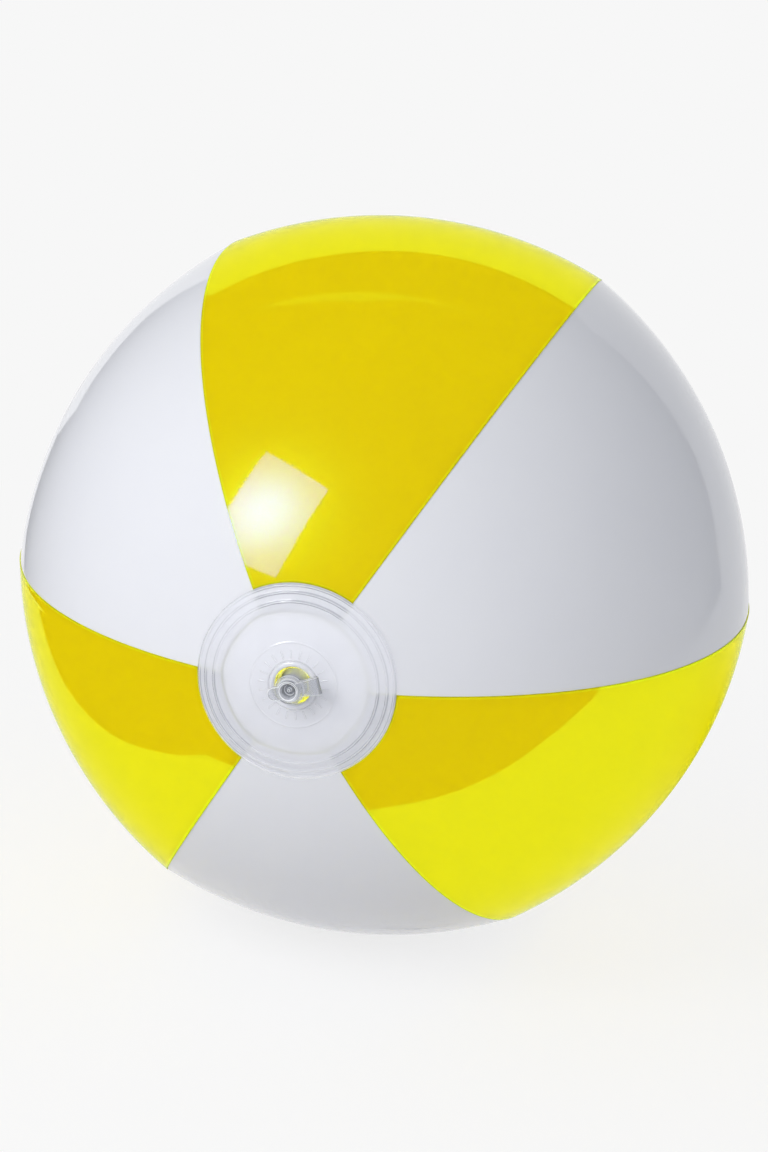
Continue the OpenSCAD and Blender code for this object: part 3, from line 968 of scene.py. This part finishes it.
def side_faces(bm, radius, low, high, half_width, sign):
    """Faces on the outside of a ring, between two heights and within a half width."""
    found = []
    for face in bm.faces:
        middle = face.calc_center_median()
        beside = abs(math.hypot(middle.x, middle.y) - radius) < BESIDE
        if beside and low < middle.z < high and abs(middle.y) < half_width and middle.x * sign > 0:
            found.append(face)
    return found


def widest_off(faces):
    """How far the widest point of some faces lies from the middle line."""
    return max(abs(v.co.y) for f in faces for v in f.verts)


print(f"faces within {BESIDE / MM:.2f} mm of a ring's radius count as its side")

# %% Sizes of the stopper
HEAD_R = 3.9 * MM
HEAD_T = 1.8 * MM
SEAT_GAP = 0.1 * MM
PLUG_LEN = 2.8 * MM
PLUG_GAP = 0.1 * MM
PLUG_TAPER = 0.4 * MM
HOLLOW_R = 2.1 * MM
HOLLOW_DEPTH = 3.2 * MM
CUP_R = 3.1 * MM
CUP_DEPTH = 1.9 * MM
NUB_R = 0.6 * MM
NUB_H = 1.6 * MM
TAB_W = 5.2 * MM
TAB_T = 1.1 * MM
TAB_REACH = 7.8 * MM
STOPPER_EDGE = 0.28 * MM
head_z = mouth_z + SEAT_GAP
head_top_z = head_z + HEAD_T
hollow_z = head_top_z - HOLLOW_DEPTH
plug_end_z = mouth_z - PLUG_LEN
plug_top_r = SOCKET_R - PLUG_GAP
print(f"stopper head {2 * HEAD_R / MM:.1f} mm across, tab reaches {TAB_REACH / MM:.1f} mm")

# %% Build the stopper
bm = bmesh.new()
spin_round(bm, [
    (0, hollow_z + NUB_H), (NUB_R, hollow_z + NUB_H), (NUB_R, hollow_z), (HOLLOW_R, hollow_z),
    (HOLLOW_R, head_top_z - CUP_DEPTH), (CUP_R, head_top_z), (HEAD_R, head_top_z),
    (HEAD_R, head_top_z - TAB_T), (HEAD_R, head_z),
    (plug_top_r, head_z), (plug_top_r - PLUG_TAPER, plug_end_z), (0, plug_end_z),
], VALVE_STEPS)
tab_half = TAB_W / 2
tab_side = side_faces(bm, HEAD_R, head_top_z - TAB_T, head_top_z, tab_half, -1)
widest = widest_off(tab_side)
draw_out(bm, tab_side, lambda p: Vector((
    -(TAB_REACH - tab_half) - math.sqrt(max(tab_half**2 - (p.y * tab_half / widest) ** 2, 0)),
    p.y * tab_half / widest, p.z,
)))
# The bevels get the painted highlight material
paint_highlight_faces(round_edges(bm, STOPPER_EDGE))
bmesh.ops.transform(bm, matrix=turn_strap, verts=bm.verts[:])
stopper = make_piece("valve_stopper", bm, clear_moulding)
stopper.data.materials.append(painted_highlight_edge)
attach(stopper, "stopper")
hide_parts("stopper")
print("stopper has", len(stopper.data.polygons), "faces")

# %% Sizes of the strap
STRAP_W = 5 * MM
STRAP_T = 0.9 * MM
STRAP_REACH = 10.2 * MM
STRAP_GAP = 0.05 * MM
STRAP_EDGE = 0.4 * MM
BEND_R = 1.15 * MM
BEND_W = 6.4 * MM
BEND_STEPS = 12
BAND_W = 0.9 * MM
BAND_H = 1.5 * MM
strap_upper_z = head_z + HEAD_T / 2
strap_bend_z = strap_upper_z - BEND_R
strap_lower_z = strap_bend_z - BEND_R
strap_low, strap_high = strap_lower_z - STRAP_T / 2, strap_lower_z + STRAP_T / 2
band_low, band_high = strap_lower_z - BAND_H / 2, strap_lower_z + BAND_H / 2
band_in_r = STEM_R + STRAP_GAP
band_out_r = band_in_r + BAND_W
print(f"strap leaves the stem {(mouth_z - strap_lower_z) / MM:.2f} mm below its mouth")

# %% Build the strap
bm = spin_closed([
    (band_in_r, band_low), (band_out_r, band_low), (band_out_r, strap_low),
    (band_out_r, strap_high), (band_out_r, band_high), (band_in_r, band_high),
])
root = side_faces(bm, band_out_r, strap_low, strap_high, STRAP_W / 2, 1)
widest = widest_off(root)
run = draw_out(bm, root, lambda p: Vector((STRAP_REACH, p.y * BEND_W / 2 / widest, p.z)))
bend = bmesh.ops.spin(
    bm, geom=run, cent=(STRAP_REACH, 0, strap_bend_z), axis=(0, -1, 0), dvec=(0, 0, 0),
    angle=math.pi, steps=BEND_STEPS, use_merge=False, use_duplicate=False,
)["geom_last"]
bend_faces = [g for g in bend if isinstance(g, bmesh.types.BMFace)]
narrow = STRAP_W / BEND_W
draw_out(bm, bend_faces, lambda p: Vector((
    math.sqrt((HEAD_R + STRAP_GAP) ** 2 - (p.y * narrow) ** 2), p.y * narrow, p.z,
)))
# The bevels get the painted highlight material
paint_highlight_faces(round_edges(bm, STRAP_EDGE))
bmesh.ops.transform(bm, matrix=turn_strap, verts=bm.verts[:])
strap = make_piece("stopper_hinge_strap", bm, clear_moulding)
strap.data.materials.append(painted_highlight_edge)
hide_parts("stopper_strap")
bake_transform(strap)
print("strap bends between the stem and the stopper")

# %% [markdown]
# ## Studio
# The ball lies on a white sheet that sweeps up behind it, in a room that is dark towards the
# camera. The film mirrors this: lemon where it mirrors the sheet, plain gold where it mirrors the
# room, a faint band from a high window, and one white square where it mirrors the softbox. The
# sheet card is painted dimmer and yellow near the ball: painted shade of the ball, with painted
# yellow light from the film. Sheet, window and softbox face are cards that only mirror rays see, so
# they add no light. The floor itself stays plain white with the ball's shadow.

# %% Floor material
BACKGROUND = "#F7F7F7"
SHADE_FROM, SHADE_TO = 0.12, 0.6   # metres from the ball over which its shade fades
SHADE_SHARE = 0.2


def ray_kinds(tree):
    """1 for a mirrored ray, and 1 for one that the eye sees straight or through clear plastic."""
    camera_ray = add(tree, "ShaderNodeLightPath", {}, out="Is Camera Ray")
    glossy_ray = add(tree, "ShaderNodeLightPath", {}, out="Is Glossy Ray")
    passing_ray = add(tree, "ShaderNodeLightPath", {}, out="Is Transmission Ray")
    bent = add(tree, "ShaderNodeMath", {0: glossy_ray, 1: passing_ray}, operation="MULTIPLY")
    mirrored = add(tree, "ShaderNodeMath", {0: glossy_ray, 1: bent}, operation="SUBTRACT")
    return mirrored, add(tree, "ShaderNodeMath", {0: camera_ray, 1: bent}, operation="MAXIMUM")


def floor_material():
    """Matt paper. The eye sees it evenly white, with some of the real shade near the ball."""
    material, tree = new_material("matt_white_paper")
    mirrored, seen_ray = ray_kinds(tree)
    place = add(tree, "ShaderNodeTexCoord", {}, out="Object")
    far = add(tree, "ShaderNodeVectorMath", {0: place}, out="Value", operation="LENGTH")
    away = add(tree, "ShaderNodeMapRange", {
        0: far, 1: SHADE_FROM, 2: SHADE_TO,
    }, interpolation_type="SMOOTHSTEP")
    paper = add(tree, "ShaderNodeBsdfDiffuse", {"Color": linear("#F2F2F2")})
    white = add(tree, "ShaderNodeMix", {
        "Factor": away, 6: linear("#FFFFFF"), 7: linear(BACKGROUND),
    }, out=2, data_type="RGBA")
    plain = add(tree, "ShaderNodeEmission", {"Color": white})
    shade = add(tree, "ShaderNodeMapRange", {0: away, 3: SHADE_SHARE, 4: 0.0})
    seen = add(tree, "ShaderNodeMixShader", {0: shade, 1: plain, 2: paper})
    dark = add(tree, "ShaderNodeBsdfDiffuse", {"Color": linear("#2A2A2A")})
    grey = add(tree, "ShaderNodeBsdfDiffuse", {"Color": linear("#E6E6E8")})
    other = add(tree, "ShaderNodeMixShader", {0: mirrored, 1: grey, 2: dark})
    surface = add(tree, "ShaderNodeMixShader", {0: seen_ray, 1: other, 2: seen})
    add(tree, "ShaderNodeOutputMaterial", {"Surface": surface})
    return material


print(f"the shade fades out {SHADE_TO} m from the ball")

# %% Floor
FLOOR_R, FLOOR_SIDES = 4, 96
floor_mesh = bpy.data.meshes.new("floor")
bm = bmesh.new()
bmesh.ops.create_circle(bm, cap_ends=True, radius=FLOOR_R, segments=FLOOR_SIDES)
bm.to_mesh(floor_mesh)
bm.free()
floor_mesh.materials.append(floor_material())
floor = put_in_scene("floor", floor_mesh)
print("floor laid,", 2 * FLOOR_R, "m across")

# %% Cards for the mirror images
def card(name, corners, material):
    """A flat sheet that only mirror rays see."""
    mesh = bpy.data.meshes.new(name)
    bm = bmesh.new()
    bm.faces.new([bm.verts.new(corner) for corner in corners])
    bm.to_mesh(mesh)
    bm.free()
    mesh.materials.append(material)
    sheet = put_in_scene(name, mesh)
    for flag in ("visible_camera", "visible_diffuse", "visible_transmission", "visible_shadow"):
        setattr(sheet, flag, False)


def lit_cloth(name, spot, reach, near, far, near_colour="#FFFFFF"):
    """Glowing cloth of the strength near at the spot, and of the strength far beyond its reach."""
    material, tree = new_material(name)
    place = add(tree, "ShaderNodeTexCoord", {}, out="Object")
    off = add(tree, "ShaderNodeVectorMath", {0: place, 1: spot}, out="Value", operation="DISTANCE")
    away = add(tree, "ShaderNodeMapRange", {
        0: off, 1: 0.0, 2: reach,
    }, interpolation_type="SMOOTHSTEP")
    colour = add(tree, "ShaderNodeMix", {
        "Factor": away, 6: linear(near_colour), 7: linear("#FFFFFF"),
    }, out=2, data_type="RGBA")
    strength = add(tree, "ShaderNodeMapRange", {0: away, 3: near, 4: far})
    # Only the first mirror image counts, so no stray sparks come from light scattered before
    scattered = add(tree, "ShaderNodeLightPath", {}, out="Diffuse Depth")
    first = add(tree, "ShaderNodeMapRange", {0: scattered, 3: 1.0, 4: 0.0})
    strength = add(tree, "ShaderNodeMath", {0: strength, 1: first}, operation="MULTIPLY")
    glow = add(tree, "ShaderNodeEmission", {"Color": colour, "Strength": strength})
    add(tree, "ShaderNodeOutputMaterial", {"Surface": glow})
    return material


print("a card is seen by mirror rays alone")

# %% Hang the cards
WALL_Y = 0.9
SHEET_LIFT = 0.5 * MM
# Outlines in metres: the floor sheet's from above, the wall's and the window's from the front
FLOOR_EDGE = [
    (-0.68, 0.88), (-0.575, 0.7), (-0.5, 0.58), (-0.43, 0.45), (-0.399, 0.152), (-0.276, 0.019),
    (-0.198, -0.085), (-0.146, -0.165), (-0.129, -0.199), (-0.098, -0.208), (0.065, -0.186),
    (0.173, -0.165), (0.252, -0.153), (0.364, -0.119), (0.72, -0.05), (0.82, 0.9),
]
WALL_EDGE = [
    (-0.68, 0), (0.82, 0), (0.82, 0.09), (0.66, 0.32), (0.64, 0.49), (0.56, 0.85), (0.32, 0.895),
    (0.0, 0.955), (-0.28, 1.02), (-0.47, 1.05), (-0.97, 1.06), (-0.95, 0.92), (-0.75, 0.6),
    (-0.7, 0.29), (-0.8, 0.155), (-0.86, 0.12), (-0.72, 0.02),
]
WINDOW_EDGE = [
    (-1.385, 2.06), (-1.08, 2.37), (-0.6, 2.56), (-0.26, 2.33), (0.17, 2.14), (0.41, 2.17),
]
SOFTBOX_CORNERS = [
    (-0.494, -0.627, 1.001), (-0.187, -0.861, 0.954),
    (-0.358, -1.098, 0.484), (-0.665, -0.863, 0.532),
]
SOFTBOX_BULB = (-0.45, -0.844, 0.746)
# Spot of the painted shade and painted yellow light on the floor card
BALL_SHADE = (0.17, 0.2, 0)
# Painted shade: the floor card glows dimmer and yellow near that spot
in_shade = lit_cloth("sheet_in_shade", BALL_SHADE, 0.22, 0.84, 1.0, "#F6F03C")
in_light = lit_cloth("sheet_in_light", BALL_SHADE, 0.3, 1.0, 1.0)
window_cloth = lit_cloth("window_cloth", BALL_SHADE, 0.3, 0.45, 0.45)
softbox_cloth = lit_cloth("softbox_cloth", SOFTBOX_BULB, 0.3, 44.0, 15.0)
card("sheet_floor", [(x, y, SHEET_LIFT) for x, y in FLOOR_EDGE], in_shade)
card("sheet_wall", [(x, WALL_Y, z) for x, z in WALL_EDGE], in_light)
card("high_window", [(x, WALL_Y, z) for x, z in WINDOW_EDGE], window_cloth)
card("softbox_face", SOFTBOX_CORNERS, softbox_cloth)
print(f"cards hung, the wall {WALL_Y} m behind the ball's middle")

# %% [markdown]
# ## Lamps
# One softbox at the upper left lights the ball, as its white image on the film shows. Three wide
# suns stand for the room's own light, and a small lamp inside the ball for the daylight that the
# yellow film lets in. None of them is mirrored, because the cards already give the mirror images.

# %% Softbox
SOFTBOX_SIZE = (0.46, 0.58)
SOFTBOX_WATTS = 4.2
SOFTBOX_AIM = Vector((-0.05, -0.105, 0.06))   # from the ball's centre
softbox_from = Vector((-0.463, -0.712, 0.527)).normalized()
softbox_across = Vector((0.807, -0.591, 0)).normalized()
softbox_up = softbox_from.cross(softbox_across).normalized()
softbox = bpy.data.lights.new("softbox", "AREA")
softbox.shape = "RECTANGLE"
softbox.size, softbox.size_y = SOFTBOX_SIZE
softbox.energy = SOFTBOX_WATTS
softbox_turn = Matrix((softbox_across, softbox_up, softbox_from)).transposed().to_4x4()
softbox_lamp = put_in_scene("softbox", softbox)
softbox_lamp.matrix_world = (
    Matrix.Translation(centre + SOFTBOX_AIM + softbox_from) @ softbox_turn)
softbox_lamp.visible_glossy = False
softbox_lamp.visible_camera = False
print("softbox hung at", [round(x, 2) for x in softbox_lamp.location])

# %% Light of the room
SUN_SPREAD = math.radians(80)


def sun(name, towards, strength):
    """Wide soft light from one side, which isn't mirrored."""
    lamp = bpy.data.lights.new(name, "SUN")
    lamp.energy = strength
    lamp.angle = SUN_SPREAD
    holder = put_in_scene(name, lamp)
    holder.rotation_euler = Vector(towards).to_track_quat("Z", "Y").to_euler()
    holder.visible_glossy = False


sun("room_fill", (0.42, -0.9, 0.08), 1.14)
sun("window_fill", (-0.8, 0, 0.6), 0.5)
sun("back_fill", (0.05, 0.98, 0.2), 0.8)
print("three fills from the room, the window and the back")

# %% Daylight inside the ball
INSIDE_WATTS = 0.86
INSIDE_R = 0.03
inside = bpy.data.lights.new("daylight_inside", "POINT")
inside.energy = INSIDE_WATTS
inside.shadow_soft_size = INSIDE_R
inside_lamp = put_in_scene("daylight_inside", inside)
inside_lamp.location = centre
for flag in ("visible_camera", "visible_glossy", "visible_transmission"):
    setattr(inside_lamp, flag, False)
print(f"lamp of {INSIDE_WATTS} W inside the ball")

# %% World
world = bpy.data.worlds.new("studio")
bpy.context.scene.world = world
world.use_nodes = True
tree = world.node_tree
tree.nodes.clear()
mirrored, seen_ray = ray_kinds(tree)
room = add(tree, "ShaderNodeMix", {
    "Factor": mirrored, 6: linear("#9D9FA3"), 7: linear("#303236"),
}, out=2, data_type="RGBA")
colour = add(tree, "ShaderNodeMix", {
    "Factor": seen_ray, 6: room, 7: linear(BACKGROUND),
}, out=2, data_type="RGBA")
sky = add(tree, "ShaderNodeBackground", {"Color": colour})
add(tree, "ShaderNodeOutputWorld", {"Surface": sky})
print("world of", len(tree.nodes), "nodes")

# %% [markdown]
# ## Camera
# The photograph looks slightly down at the valve from the right, with the camera tilted a little.
# The lens is long, so the ball keeps its round outline.

# %% Camera
AZIMUTH, ELEVATION, ROLL = (math.radians(a) for a in (11.85, 17.15, 4.34))
CAMERA_FAR = 1.68
FOCAL_PX, LONG_SIDE_PX, SENSOR = 4294.4, 1152, 36
AIM_OFF = Vector((-0.0005, 0, -0.0006))
camera_data = bpy.data.cameras.new("camera")
camera_data.sensor_width = SENSOR
camera_data.lens = FOCAL_PX * SENSOR / LONG_SIDE_PX
camera = put_in_scene("camera", camera_data)
look = Matrix.Rotation(AZIMUTH, 4, "Z") @ Matrix.Rotation(math.pi / 2 - ELEVATION, 4, "X")
look = Matrix.Translation(centre + AIM_OFF) @ look @ Matrix.Rotation(ROLL, 4, "Z")
camera.matrix_world = look @ Matrix.Translation((0, 0, CAMERA_FAR))
bpy.context.scene.camera = camera
bpy.context.scene.view_settings.view_transform = "Standard"
print(f"lens {camera_data.lens:.1f} mm")
